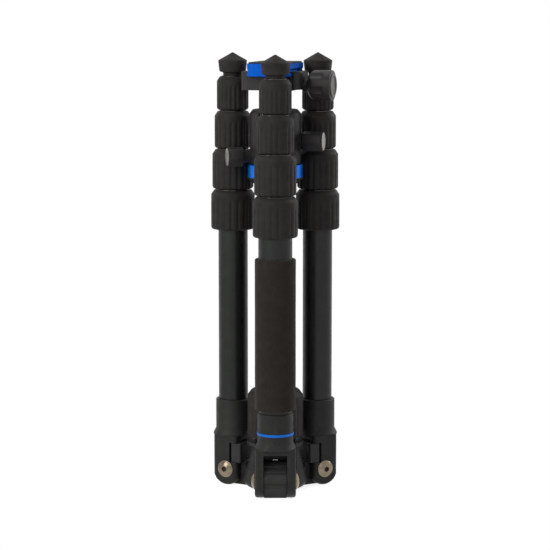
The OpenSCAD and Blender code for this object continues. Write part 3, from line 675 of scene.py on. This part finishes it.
@dataclass
class HeadKnob:
    """One of the two flat-sided knobs of the ball head, with its bright end cap.

    Inner and outer are where its grip starts and ends, counted from the column's axis.
    """

    node: str
    cap_node: str
    body: str
    azimuth: float
    inner_mm: float
    outer_mm: float
    corner_mm: float
    side_round_mm: float = 1.7
    end_round_mm: float = 0.7
    screw_mm: float = 3.0
    screw_reach_mm: tuple[float, float] = (9.0, 1.0)
    cap_share: float = 0.90
    rim_mm: float = 0.5
    rim_h_mm: tuple[float, float] = (0.5, 1.05)
    disc_h_mm: tuple[float, float, float] = (0.95, 1.1, 1.15)
    disc_round_mm: float = 0.3
    lap_mm: float = 0.1
    sunk_mm: float = 0.2

    def build(self, height: float) -> None:
        """Builds the knob over its node.

        Args:
            height: height of its axis, in metres.
        """
        direction = heading(self.azimuth)
        start, end = self.inner_mm * MM, self.outer_mm * MM
        radius = self.corner_mm * MM
        mesh = bmesh.new()
        bmesh.ops.create_cone(mesh, cap_ends=True, segments=6, radius1=radius, radius2=radius,
                              depth=end - start)
        Maker.bevel(mesh, self.side_round_mm * MM,
                    lambda e: abs(e.verts[0].co.z - e.verts[1].co.z) > 1 * MM, 4)
        Maker.bevel(mesh, self.end_round_mm * MM, lambda e: Maker.sharp(60.0)(e)
                    and abs(e.verts[0].co.z - e.verts[1].co.z) < 0.1 * MM, 3)
        place = axis_frame(direction * ((start + end) / 2) + Vector((0, 0, height)), direction)
        Maker.place(mesh, place)
        knob = Maker.piece(f"{self.node}_grip", mesh, HEAD_ALLOY, 30.0)
        before, within = (reach * MM for reach in self.screw_reach_mm)
        low, high, screw = start - before, start + within, self.screw_mm * MM
        shaft = Maker.revolve([(0.0, low), (screw, low), (screw, high), (0.0, high)], 40, closed=False)
        Maker.place(shaft, axis_frame(Vector((0, 0, height)), direction))
        stem = Maker.piece(f"{self.node}_screw", shaft, STEEL)
        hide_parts(self.node)
        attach(knob, self.body)
        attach(stem, self.body)
        self.cap(direction, height, end, radius * self.cap_share)
        LOG.info("%s built", self.node)

    def cap(self, direction: Vector, height: float, end: float, radius: float) -> None:
        """The turned cap: a dark bevelled rim round a bright, faintly domed face.

        Args:
            direction: where the knob points.
            height: height of its axis.
            end: distance of the knob's end face from the column's axis.
            radius: the cap's radius.
        """
        place = axis_frame(direction * end + Vector((0, 0, height)), direction)
        edge, sunk = radius - self.rim_mm * MM, -self.sunk_mm * MM
        lap, soft = edge - self.lap_mm * MM, edge - self.disc_round_mm * MM
        side, crest = (h * MM for h in self.rim_h_mm)
        wall, shoulder, dome = (h * MM for h in self.disc_h_mm)
        rim = Maker.revolve([(lap, sunk), (radius, sunk), (radius, side), (edge, crest),
                             (lap, crest)], 72)
        disc = Maker.revolve([(0.0, sunk), (edge, sunk), (edge, wall), (soft, shoulder),
                              (0.5 * radius, dome), (0.0, dome)], 72, closed=False)
        for mesh in (rim, disc):
            Maker.place(mesh, place)
        dark = Maker.piece(f"{self.cap_node}_rim", rim, HEAD_ALLOY, 30.0)
        bright = Maker.piece(f"{self.cap_node}_disc", disc, CAP_METAL, 30.0)
        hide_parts(self.cap_node)
        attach(bright, self.body)
        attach(dark, self.body)


@dataclass
class BoltHead:
    """A domed socket head at one end of a hinge bolt, with a dark disc in its socket as painted shade.
    """

    radius_mm: float = 7.3
    height_mm: float = 2.7
    foot_mm: float = 0.5
    foot_edge_mm: float = 0.15
    dome_steps: int = 10
    socket_mm: float = 2.5
    socket_rim: float = 1.12
    depth_mm: float = 1.7
    # Width share and heights of the dark disc that paints the shade in the socket.
    painted_shade_share: float = 0.84
    painted_shade_mm: tuple[float, float] = (-0.1, 0.15)

    def mesh(self) -> bmesh.types.BMesh:
        """Makes the head standing on the origin along +Z.

        Returns:
            The head's mesh.
        """
        r, h = self.radius_mm * MM, self.height_mm * MM
        socket, depth = self.socket_mm * MM, self.depth_mm * MM
        foot, edge = self.foot_mm * MM, self.foot_edge_mm * MM
        last = self.socket_rim * socket
        reaches = [r - (r - last) * k / self.dome_steps for k in range(self.dome_steps + 1)]
        dome = [(x, foot + (h - foot) * (r * r - x * x) / (r * r - last * last)) for x in reaches]
        mesh = Maker.revolve([(0.0, 0.0), (r - edge, 0.0), (r, edge)] + dome, 60, closed=False)
        rim = [side for side in mesh.edges if side.is_boundary]
        top = bmesh.ops.extrude_edge_only(mesh, edges=rim)["geom"]
        verts = [g for g in top if isinstance(g, bmesh.types.BMVert)]
        for vert in verts:
            turn = math.atan2(vert.co.y, vert.co.x)
            part = (turn % (FULL_TURN / 6)) - FULL_TURN / 12
            reach = socket * math.cos(FULL_TURN / 12) / math.cos(part)
            vert.co.x, vert.co.y = reach * math.cos(turn), reach * math.sin(turn)
        ring = [g for g in top if isinstance(g, bmesh.types.BMEdge)]
        floor = bmesh.ops.extrude_edge_only(mesh, edges=ring)["geom"]
        low = [g for g in floor if isinstance(g, bmesh.types.BMVert)]
        bmesh.ops.translate(mesh, verts=low, vec=(0, 0, -depth))
        bmesh.ops.contextual_create(mesh, geom=[g for g in floor if isinstance(g, bmesh.types.BMEdge)])
        return mesh

    def painted_shade_disc(self) -> bmesh.types.BMesh:
        """Makes the dark disc on the socket's floor: painted shade for the depth of the socket.

        Returns:
            A thin disc's mesh.
        """
        floor = (self.height_mm - self.depth_mm) * MM
        wide = self.socket_mm * self.painted_shade_share * MM
        low, high = (floor + h * MM for h in self.painted_shade_mm)
        return Maker.revolve([(0.0, low), (wide, low), (wide, high), (0.0, high)], 24, closed=False)


@dataclass
class Hub:
    """The spider with its hinge bolts, the column and the column's lock collar."""

    frame: dict
    ear_mm: float = 17.3
    ring_mm: float = 39.3
    shank_mm: float = 4.0
    washer_mm: tuple[float, float] = (4.3, 13.6)
    washer_at_mm: tuple[float, float] = (9.53, 9.82)

    def build(self) -> None:
        """Dresses the hub and builds its bolts and collar."""
        dress(self.frame, CASTING, ["spider"])
        dress(self.frame, TUBE, ["column_tube"])
        dress(self.frame, RUBBER, ["column_cap"])
        self.bolts()
        TwistLock("column_lock", "collar", ribs=24, round_mm=1.4, bevel_h_mm=4.4, bevel_w_mm=3.4,
                  has_neck=False).build()

    def washer(self) -> bmesh.types.BMesh:
        """Makes the thin dark thrust washer between a lug and an ear of its yoke.

        Returns:
            The washer's mesh, round the Z axis, at its distance from the leg's middle.
        """
        inner, outer = (r * MM for r in self.washer_mm)
        near, far = (d * MM for d in self.washer_at_mm)
        return Maker.revolve([(inner, near), (outer, near), (outer, far), (inner, far)], 72)

    def bolts(self) -> None:
        """Two domed heads, each with a dark disc of painted shade in its socket, two thrust washers
        and a shank for each leg's hinge.
        """
        low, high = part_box("hinge_bolts")
        height = (low.z + high.z) / 2
        built = []
        for side in Side:
            out = heading(side.azimuth)
            across = heading(side.azimuth + 90.0)
            centre = out * self.ring_mm * MM + Vector((0, 0, height))
            for sign in (-1.0, 1.0):
                head = BoltHead()
                # The dark disc in each socket is painted shade for the deep recess.
                mesh, socket_shade, washer = head.mesh(), head.painted_shade_disc(), self.washer()
                seat = axis_frame(centre + across * sign * self.ear_mm * MM, across * sign)
                Maker.place(mesh, seat)
                Maker.place(socket_shade, seat)
                Maker.place(washer, axis_frame(centre, across * sign))
                label = "a" if sign < 0 else "b"
                built.append(Maker.piece(f"{side.label}_bolt_head_{label}", mesh, CHROME, 32.0))
                built.append(Maker.piece(f"{side.label}_bolt_socket_shade_{label}", socket_shade, CASTING, 32.0))
                built.append(Maker.piece(f"{side.label}_washer_{label}", washer, CASTING, 32.0))
            half, wide = self.ear_mm * MM, self.shank_mm * MM
            shank = Maker.revolve([(0.0, -half), (wide, -half), (wide, half), (0.0, half)], 40,
                                  closed=False)
            Maker.place(shank, axis_frame(centre, across))
            built.append(Maker.piece(f"{side.label}_bolt_shank", shank, STEEL, 32.0))
        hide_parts("hinge_bolts")
        for piece in built:
            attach(piece, "hub")
        LOG.info("%d bolt pieces built", len(built))


@dataclass
class Leg:
    """One folded leg: yoke, latch tab, tubes, twist locks and foot.

    The pivot and the pin are placed by their distance from the column's axis and their height.
    """

    frame: dict
    side: Side
    locks: int = 4
    edge_mm: float = 0.7
    edge_deg: float = 38.0
    merge_mm: float = 0.002
    flat_deg: float = 0.6
    ear_edge_mm: float = 2.2
    ear_edge_deg: float = 50.0
    ear_mm: float = 17.2
    corner_mm: float = 3.0
    pivot_mm: tuple[float, float] = (39.3, 14.0)
    pin_mm: float = 0.8
    pin_edge_mm: float = 0.2
    pin_half_mm: float = 2.2
    pin_out_mm: float = 34.2
    pin_z_mm: float = 30.7

    def build(self) -> None:
        """Dresses the leg's castings and tubes and builds its fine pieces."""
        leg = self.side.label
        self.rounded_casting(f"{leg}_yoke", f"{leg}_leg", CASTING, self.ear_edge)
        self.rounded_casting(f"{leg}_latch_tab", f"{leg}_latch", TAB_GREY)
        self.latch_pin()
        dress(self.frame, TUBE, [f"{leg}_tube_{n}" for n in range(1, self.locks + 2)])
        for n in range(1, self.locks + 1):
            TwistLock(f"{leg}_lock_{n}", f"{leg}_twist_{n}", azimuth=self.side.azimuth).build()
        Foot(f"{leg}_foot", f"{leg}_section_{self.locks + 1}").build()
        if self.side is Side.FRONT:
            dress(self.frame, TRIM_BLUE, ["front_trim_ring"])
            FoamGrip().build()

    def latch_pin(self) -> None:
        """The small bright pin across the latch bar, seen through the yoke's slot."""
        leg = self.side.label
        out, across = heading(self.side.azimuth), heading(self.side.azimuth + 90.0)
        centre = out * self.pin_out_mm * MM + Vector((0, 0, self.pin_z_mm * MM))
        half, radius, edge = self.pin_half_mm * MM, self.pin_mm * MM, self.pin_edge_mm * MM
        mesh = Maker.revolve([(0.0, -half), (radius - edge, -half), (radius, edge - half),
                              (radius, half - edge), (radius - edge, half), (0.0, half)], 32,
                             closed=False)
        Maker.place(mesh, axis_frame(centre, across))
        piece = Maker.piece(f"{leg}_latch_pin", mesh, BRIGHT_PIN)
        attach(piece, f"{leg}_latch")

    def ear_edge(self, edge: bmesh.types.BMEdge) -> bool:
        """Whether an edge runs round the lower end of one of the yoke's ears, on its outer side.

        Args:
            edge: an edge of the yoke.

        Returns:
            True if it is rounded with the ears.
        """
        out, across = heading(self.side.azimuth), heading(self.side.azimuth + 90.0)
        reach, height = (size * MM for size in self.pivot_mm)
        for vert in edge.verts:
            away = math.hypot(vert.co.dot(out) - reach, vert.co.z - height)
            low = vert.co.z < height + 0.1 * MM and away > 0.6 * height
            if abs(vert.co.dot(across)) < (self.ear_mm - self.corner_mm) * MM or not low:
                return False
        return Maker.sharp(self.ear_edge_deg)(edge)

    def rounded_casting(self, node: str, body: str, finish: Finish,
                        soft: Callable[[bmesh.types.BMEdge], bool] | None = None) -> None:
        """Copies a casting's mesh, merges its facets and rounds its edges.

        Args:
            node: the casting's node.
            body: the body that it rides on.
            finish: its finish.
            soft: the test for edges that are rounded most, where there are any.
        """
        mesh = bmesh.new()
        mesh.from_mesh(self.frame["nodes"][node].data)
        bmesh.ops.remove_doubles(mesh, verts=mesh.verts, dist=self.merge_mm * MM)
        bmesh.ops.dissolve_limit(mesh, angle_limit=math.radians(self.flat_deg),
                                 use_dissolve_boundaries=False, verts=mesh.verts, edges=mesh.edges,
                                 delimit=set())
        if soft is not None:
            Maker.bevel(mesh, self.ear_edge_mm * MM, soft, 5, clamp=False)
        piece = Maker.piece(f"{node}_casting", mesh, finish, 32.0)
        bevel = piece.modifiers.new("edges", "BEVEL")
        bevel.width = self.edge_mm * MM
        bevel.segments = 3
        bevel.limit_method = "ANGLE"
        bevel.angle_limit = math.radians(self.edge_deg)
        bevel.use_clamp_overlap = True
        bevel.harden_normals = True
        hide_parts(node)
        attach(piece, body)
        LOG.info("%s rounded", node)


@dataclass
class Head:
    """The ball head with its base, blue ring, housing, knobs and clamp.

    A small knob's three sizes are where it starts and ends and the radius of its corners. The
    clamp knob's stem is drawn from the column's axis, its ring and face from the knob's end.
    """

    frame: dict
    pan_azimuth: float = 193.5
    pan_mm: tuple[float, float, float] = (28.0, 40.4, 8.7)
    ball_azimuth: float = -13.5
    ball_mm: tuple[float, float, float] = (24.0, 40.4, 8.85)
    clamp_azimuth: float = -16.5
    stem_mm: Profile = ((0.0, 8.0), (2.5, 8.0), (2.5, 25.7), (6.0, 25.7), (6.0, 28.6), (7.6, 30.4),
                        (0.0, 30.4))
    ring_mm: Profile = ((7.4, 0.0), (9.9, 0.0), (9.9, 0.5), (9.3, 1.1), (8.0, 1.1), (7.4, 0.5))
    face_mm: Profile = ((0.0, -0.2), (7.5, -0.2), (7.5, 0.35), (0.0, 0.3))

    def build(self) -> None:
        """Dresses the head and builds its knobs."""
        dress(self.frame, HEAD_ALLOY, ["head_base", "ball_housing", "clamp_body", "clamp_jaw"])
        dress(self.frame, BLUE, ["pan_ring"])
        dress(self.frame, PLATE_BLUE, ["quick_plate"])
        dress(self.frame, WHITE_PLASTIC, ["ball_seat"])
        dress(self.frame, STEEL, ["ball", "camera_screw"])
        dress(self.frame, FOOT_RUBBER, ["plate_pad"])
        HeadKnob("pan_knob", "pan_knob_cap", "pan_lock", self.pan_azimuth, *self.pan_mm).build(
            middle("pan_knob_cap").z)
        HeadKnob("ball_knob", "ball_knob_cap", "ball_lock", self.ball_azimuth, *self.ball_mm).build(
            middle("ball_knob_cap").z)
        self.clamp_knob()

    def clamp_knob(self) -> None:
        """The clamp's large lobed knob, its collar, its screw and its ringed end disc."""
        height = middle("clamp_knob_cap").z
        direction = heading(self.clamp_azimuth)
        place = axis_frame(Vector((0, 0, height)), direction)
        made = LobedKnob()
        knob = Maker.piece("clamp_knob_grip", made.mesh(), HEAD_ALLOY, 32.0)
        stem = Maker.revolve(in_metres(self.stem_mm), 48, closed=False)
        collar = Maker.piece("clamp_knob_collar", stem, HEAD_ALLOY, 30.0)
        disc = Maker.revolve(in_metres(self.ring_mm, made.end_mm), 80)
        ring = Maker.piece("clamp_knob_ring", disc, RING_METAL, 30.0)
        face = Maker.revolve(in_metres(self.face_mm, made.end_mm), 64, closed=False)
        dark = Maker.piece("clamp_knob_face", face, DARK_CAP, 30.0)
        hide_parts("clamp_knob")
        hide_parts("clamp_knob_cap")
        for piece in (knob, collar, ring, dark):
            piece.data.transform(place)
            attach(piece, "clamp_screw")
        LOG.info("clamp knob built")


@dataclass
class LobedKnob:
    """A knob whose grip is hollowed between its lobes and ends in a round flange."""

    start_mm: float = 30.0
    end_mm: float = 49.6
    radius_mm: float = 12.7
    foot_mm: float = 8.7
    cone_mm: float = 5.0
    cone_swell: float = 0.9
    cone_rows: int = 6
    rows: int = 16
    lobes: int = 6
    hollow_at_mm: float = 18.0
    hollow_mm: float = 6.6
    hollow_end_mm: float = 44.1
    run_out_mm: float = 2.0
    run_rise_mm: float = 1.8
    edge_mm: float = 0.6

    def section(self) -> list[tuple[float, float]]:
        """The knob's outline before the hollows are pressed in.

        Returns:
            The outline of (radius, distance along the axis) pairs, in metres.
        """
        r, foot, e = self.radius_mm, self.foot_mm, self.edge_mm
        cone_end = self.start_mm + self.cone_mm
        last = self.end_mm - e
        parts = [k / self.cone_rows for k in range(self.cone_rows + 1)]
        cone = [(foot + (r - foot) * math.sin(part * math.pi / 2) ** self.cone_swell,
                 self.start_mm + self.cone_mm * part) for part in parts]
        side = [(r, cone_end + (last - cone_end) * k / self.rows) for k in range(1, self.rows + 1)]
        tip = [(r - 0.3 * e, last + 0.7 * e), (r - e, self.end_mm), (0.0, self.end_mm)]
        return in_metres([(0.0, self.start_mm)] + cone + side + tip)

    def mesh(self) -> bmesh.types.BMesh:
        """Makes the knob along +Z from the column's axis.

        Returns:
            The knob's mesh.
        """
        mesh = Maker.revolve(self.section(), 24 * self.lobes, closed=False)
        pitch = FULL_TURN / self.lobes
        at, q = self.hollow_at_mm * MM, self.hollow_mm * MM
        run = self.run_out_mm * MM
        for vert in mesh.verts:
            r = math.hypot(vert.co.x, vert.co.y)
            if r < 1 * MM:
                continue
            away = (math.atan2(vert.co.y, vert.co.x) % pitch) - pitch / 2
            inside = q * q - (at * math.sin(away)) ** 2
            if inside <= 0.0:
                continue
            limit = at * math.cos(away) - math.sqrt(inside)
            past = max(0.0, vert.co.z - (self.hollow_end_mm * MM - run)) / run
            limit += self.run_rise_mm * MM * past * past
            if r > limit:
                vert.co.x *= limit / r
                vert.co.y *= limit / r
        return mesh


@dataclass
class Studio:
    """The camera, the lamps, the white floor and the world.

    A lamp has a name, a place, a side in metres and a power in watts.
    """

    camera_at: tuple[float, float, float] = (0.0, -1.75, 0.4235)
    tilt_down_deg: float = 7.85
    focal_px: float = 2093.0
    frame_px: float = 550.0
    sensor_mm: float = 36.0
    centre_x_px: float = 275.3
    aim_m: float = 0.18
    floor_m: float = 3.0
    floor_drop_m: float = 0.0002
    paper: float = 0.86
    glow: float = 0.82
    fade_m: tuple[float, float] = (0.055, 0.12)
    world_light: float = 0.11
    lamps: list[tuple[str, tuple[float, float, float], float, float]] = field(default_factory=lambda: [
        ("key_softbox", (-1.35, -1.20, 0.95), 0.9, 17.0),
        ("front_softbox", (-0.25, -2.0, 1.3), 0.8, 5.0),
        ("rim_softbox", (1.3, 0.7, 0.8), 0.7, 7.0),
        ("top_softbox", (-0.2, 0.2, 1.8), 0.9, 6.0)])

    def build(self) -> None:
        """Sets up the whole studio."""
        self.camera()
        for name, at, size, power in self.lamps:
            self.lamp(name, Vector(at), size, power)
        self.floor()
        self.world()
        view = bpy.context.scene.view_settings
        view.view_transform = "Standard"

    def camera(self) -> None:
        """The camera, placed as the photograph's was."""
        data = bpy.data.cameras.new("camera")
        data.sensor_width = self.sensor_mm
        data.lens = self.focal_px * self.sensor_mm / self.frame_px
        data.shift_x = (self.frame_px / 2 - self.centre_x_px) / self.frame_px
        data.clip_start = 0.05
        camera = bpy.data.objects.new("camera", data)
        camera.location = self.camera_at
        camera.rotation_euler = (math.radians(90.0 - self.tilt_down_deg), 0.0, 0.0)
        bpy.context.scene.collection.objects.link(camera)
        bpy.context.scene.camera = camera

    def lamp(self, name: str, at: Vector, size: float, power: float) -> None:
        """A square softbox turned to the tripod.

        Args:
            name: the lamp's name.
            at: where it stands.
            size: its side in metres.
            power: its power in watts.
        """
        data = bpy.data.lights.new(name, "AREA")
        data.size = size
        data.energy = power
        lamp = bpy.data.objects.new(name, data)
        lamp.location = at
        lamp.rotation_euler = (Vector((0, 0, self.aim_m)) - at).to_track_quat("-Z", "Y").to_euler()
        bpy.context.scene.collection.objects.link(lamp)

    def floor(self) -> None:
        """A pale floor that keeps a soft shadow near the tripod and fades to nothing beyond.

        It stops no lamp's light, so that legs swung down past it are lit and seen as well.
        """
        mesh = bmesh.new()
        bmesh.ops.create_circle(mesh, cap_ends=True, segments=64, radius=self.floor_m)
        data = bpy.data.meshes.new("floor")
        mesh.to_mesh(data)
        mesh.free()
        floor = bpy.data.objects.new("floor", data)
        floor.location = (0, 0, -self.floor_drop_m)
        bpy.context.scene.collection.objects.link(floor)
        data.materials.append(self.floor_material())
        floor.visible_shadow = False

    def floor_material(self) -> bpy.types.Material:
        """White paper: it shows its shadow near the middle and fades into the white world.

        Returns:
            The floor's material.
        """
        material = bpy.data.materials.new("white_floor")
        net = NodeTree(material)
        output = net.add("ShaderNodeOutputMaterial")
        paper = net.add("ShaderNodeBsdfDiffuse", Color=(self.paper, self.paper, self.paper, 1.0))
        glow = net.add("ShaderNodeEmission", Color=(1.0, 1.0, 1.0, 1.0), Strength=self.glow)
        both = net.add("ShaderNodeAddShader")
        clear = net.add("ShaderNodeBsdfTransparent")
        place = net.add("ShaderNodeTexCoord").outputs["Object"]
        length = net.add("ShaderNodeVectorMath", operation="LENGTH")
        near_m, far_m = self.fade_m
        far = net.add("ShaderNodeMapRange", From_Min=near_m, From_Max=far_m, To_Min=0.0, To_Max=1.0)
        seen = self.seen(net)
        pick = net.add("ShaderNodeMath", operation="MULTIPLY")
        mix = net.add("ShaderNodeMixShader")
        lit = net.add("ShaderNodeMixShader")
        net.join(place, length.inputs[0])
        net.join(length.outputs["Value"], far.inputs["Value"])
        net.join(paper.outputs[0], both.inputs[0])
        net.join(glow.outputs[0], both.inputs[1])
        net.join(seen, lit.inputs[0])
        net.join(paper.outputs[0], lit.inputs[1])
        net.join(both.outputs[0], lit.inputs[2])
        net.join(seen, pick.inputs[0])
        net.join(far.outputs["Result"], pick.inputs[1])
        net.join(pick.outputs[0], mix.inputs[0])
        net.join(lit.outputs[0], mix.inputs[1])
        net.join(clear.outputs[0], mix.inputs[2])
        net.join(mix.outputs[0], output.inputs["Surface"])
        return material

    @staticmethod
    def seen(net: NodeTree) -> bpy.types.NodeSocket:
        """One where a ray comes from the camera, a mirror or glass, and nothing elsewhere.

        Args:
            net: the nodes of the material or world.

        Returns:
            The socket that says so.
        """
        path = net.add("ShaderNodeLightPath")
        either = net.add("ShaderNodeMath", operation="MAXIMUM")
        any_of = net.add("ShaderNodeMath", operation="MAXIMUM")
        net.join(path.outputs["Is Camera Ray"], either.inputs[0])
        net.join(path.outputs["Is Glossy Ray"], either.inputs[1])
        net.join(either.outputs[0], any_of.inputs[0])
        net.join(path.outputs["Is Transmission Ray"], any_of.inputs[1])
        return any_of.outputs[0]

    def world(self) -> None:
        """A white world that lights the tripod gently."""
        world = bpy.data.worlds.new("studio")
        bpy.context.scene.world = world
        net = NodeTree(world)
        output = net.add("ShaderNodeOutputWorld")
        back = net.add("ShaderNodeBackground", Color=(1.0, 1.0, 1.0, 1.0), Strength=self.world_light)
        white = net.add("ShaderNodeBackground", Color=(1.0, 1.0, 1.0, 1.0), Strength=1.0)
        mix = net.add("ShaderNodeMixShader")
        net.join(self.seen(net), mix.inputs[0])
        net.join(back.outputs[0], mix.inputs[1])
        net.join(white.outputs[0], mix.inputs[2])
        net.join(mix.outputs[0], output.inputs["Surface"])


def main() -> None:
    """Builds the tripod's pieces in order."""
    logging.basicConfig(level=logging.INFO, format="%(message)s")
    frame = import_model()
    Studio().build()
    Hub(frame).build()
    for side in Side:
        Leg(frame, side).build()
    Head(frame).build()


if __name__ == "__main__":
    main()
